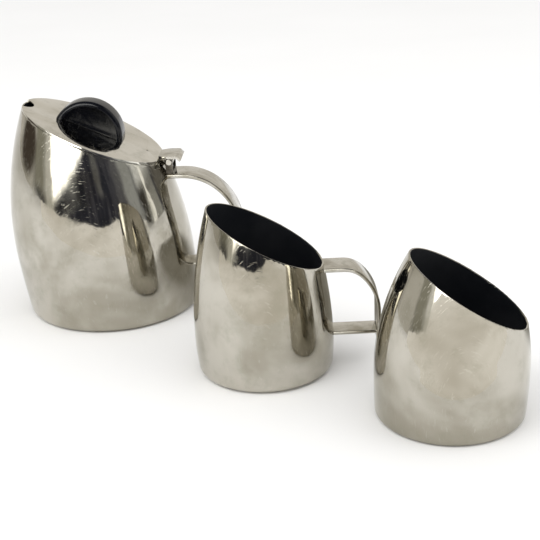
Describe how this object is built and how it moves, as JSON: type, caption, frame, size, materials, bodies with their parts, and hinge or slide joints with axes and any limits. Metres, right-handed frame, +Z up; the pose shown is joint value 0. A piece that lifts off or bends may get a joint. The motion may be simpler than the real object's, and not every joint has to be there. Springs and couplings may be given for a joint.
{
  "type": "stainless steel tea set",
  "caption": "Tea set of polished stainless steel: teapot with hinged lid and black half-round knob, milk jug and sugar bowl with slanted rims.",
  "frame": {"origin": "middle of the laid-out set, on the surface that it stands on", "axes": "+X to the sugar bowl's side, +Y to the teapot's far side, +Z up; the vessels' tips point towards -X"},
  "size_m": [0.3134, 0.2832, 0.143],
  "materials": {
    "polished_steel": "mirror polished stainless steel with fine scratches",
    "plain_steel": "plain stainless steel",
    "black_plastic": "glossy black moulded plastic",
    "brass": "plain turned brass"
  },
  "bodies": {
    "teapot": {"teapot_body": "polished_steel", "teapot_handle_strap": "polished_steel", "teapot_handle_bar": "polished_steel", "hinge_bracket": "polished_steel", "hinge_pin": "polished_steel"},
    "lid": {"lid_plate": "polished_steel", "lid_flange": "plain_steel", "lid_hinge_leaf": "polished_steel", "knob": "black_plastic", "knob_inserts": "brass", "knob_washers": "plain_steel", "knob_screws": "plain_steel"},
    "milk_jug": {"milk_jug_body": "polished_steel", "milk_jug_handle_strap": "polished_steel", "milk_jug_handle_bar": "polished_steel"},
    "sugar_bowl": {"sugar_bowl_body": "polished_steel"}
  },
  "joints": [
    {"name": "lid_hinge", "type": "hinge", "parent": "teapot", "child": "lid", "pos_m": [-0.04625, 0.07853, 0.1006], "axis": [0.061, 0.9981, 0], "range_deg": [0, 70]},
    {"name": "milk_jug_lift", "type": "slide", "parent": "teapot", "child": "milk_jug", "axis": [0, 0, 1], "range_m": [0, 0.12]},
    {"name": "sugar_bowl_lift", "type": "slide", "parent": "teapot", "child": "sugar_bowl", "axis": [0, 0, 1], "range_m": [0, 0.12]}
  ]
}
